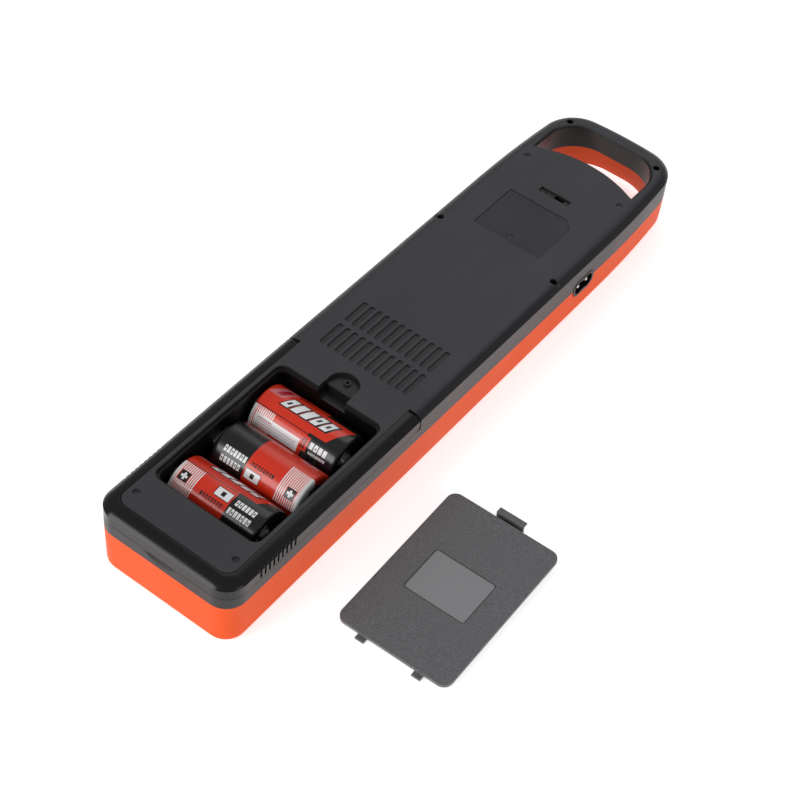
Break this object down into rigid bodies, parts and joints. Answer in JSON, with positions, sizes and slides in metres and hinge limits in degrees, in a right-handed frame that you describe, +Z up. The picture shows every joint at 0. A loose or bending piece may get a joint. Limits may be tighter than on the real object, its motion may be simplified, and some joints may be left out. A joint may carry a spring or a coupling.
{
  "type": "portable mains and battery lantern",
  "caption": "Flat hand lantern lying face down, with a carrying handle, folding stand, open battery bay with its cells, mains inlet and a removable battery cover.",
  "frame": {"origin": "on the resting front face, on the centre line, straight below the middle cell", "axes": "+Y along the case from the base end to the carrying handle, +X towards the mains inlet's side, +Z up, out of the back panel"},
  "size_m": [0.1939, 0.4317, 0.0479],
  "materials": {
    "black_plastic": "fine textured moulding",
    "black_gloss_plastic": "smooth satin moulding",
    "orange_plastic": "satin moulding",
    "cover_plastic": "fine grained moulding",
    "cell_print": "glossy printed sleeve",
    "cell_steel": "nickel-plated steel",
    "contact_steel": "nickel-plated spring steel",
    "screw_steel": "dark zinc plating",
    "clear_diffuser": "clear ribbed plastic",
    "white_plastic": "white reflecting moulding",
    "board": "solder-masked laminate",
    "led_lens": "phosphor lens",
    "red_lens": "red lens",
    "core_steel": "stacked laminations",
    "winding_tape": "yellow insulating tape",
    "capacitor_sleeve": "shrunk sleeve",
    "wire_cover": "insulated wire"
  },
  "bodies": {
    "case": {"rear_housing": "black_plastic", "front_housing": "orange_plastic", "battery_tray": "black_plastic", "contact_plates": "contact_steel", "battery_springs": "contact_steel", "link_strips": "contact_steel", "mains_inlet": "black_plastic", "inlet_pins": "contact_steel", "selector_body": "black_plastic", "selector_rivets": "contact_steel", "panel_screws": "screw_steel", "case_screws": "screw_steel", "light_diffuser": "clear_diffuser", "light_bezel": "black_gloss_plastic", "reflector": "white_plastic", "led_board": "board", "leds": "led_lens", "switch_body": "black_plastic", "charge_light": "red_lens", "transformer_core": "core_steel", "transformer_winding": "winding_tape", "circuit_board": "board", "capacitors": "capacitor_sleeve", "diodes": "black_gloss_plastic", "board_screws": "screw_steel", "mains_wires": "wire_cover", "battery_wires": "wire_cover"},
    "stand": {"stand": "black_gloss_plastic", "stand_pins": "screw_steel"},
    "battery_cover": {"battery_cover": "cover_plastic", "cover_patch": "black_gloss_plastic"},
    "power_rocker": {"switch_rocker": "black_gloss_plastic"},
    "selector_knob": {"selector_knob": "black_gloss_plastic"},
    "cell_near": {"cell_near_can": "cell_steel", "cell_near_sleeve": "cell_print", "cell_near_cap": "cell_steel"},
    "cell_middle": {"cell_middle_can": "cell_steel", "cell_middle_sleeve": "cell_print", "cell_middle_cap": "cell_steel"},
    "cell_far": {"cell_far_can": "cell_steel", "cell_far_sleeve": "cell_print", "cell_far_cap": "cell_steel"}
  },
  "joints": [
    {"name": "stand_hinge", "type": "hinge", "parent": "case", "child": "stand", "pos_m": [0, 0.06617, 0.04068], "axis": [-1, 0, 0], "range_deg": [0, 70]},
    {"name": "cover_lift", "type": "slide", "parent": "case", "child": "battery_cover", "axis": [0, 0, 1], "range_m": [0, 0.06]},
    {"name": "power_rock", "type": "hinge", "parent": "case", "child": "power_rocker", "pos_m": [0, 0.0665, 0.0056], "axis": [0, 1, 0], "range_deg": [0, 16]},
    {"name": "selector_slide", "type": "slide", "parent": "case", "child": "selector_knob", "axis": [1, 0, 0], "range_m": [0, 0.0056]},
    {"name": "cell_near_lift", "type": "slide", "parent": "case", "child": "cell_near", "axis": [0, 0.0243, 0.9997], "range_m": [0, 0.06]},
    {"name": "cell_middle_lift", "type": "slide", "parent": "case", "child": "cell_middle", "axis": [0, 0.0243, 0.9997], "range_m": [0, 0.06]},
    {"name": "cell_far_lift", "type": "slide", "parent": "case", "child": "cell_far", "axis": [0, 0.0243, 0.9997], "range_m": [0, 0.06]}
  ]
}
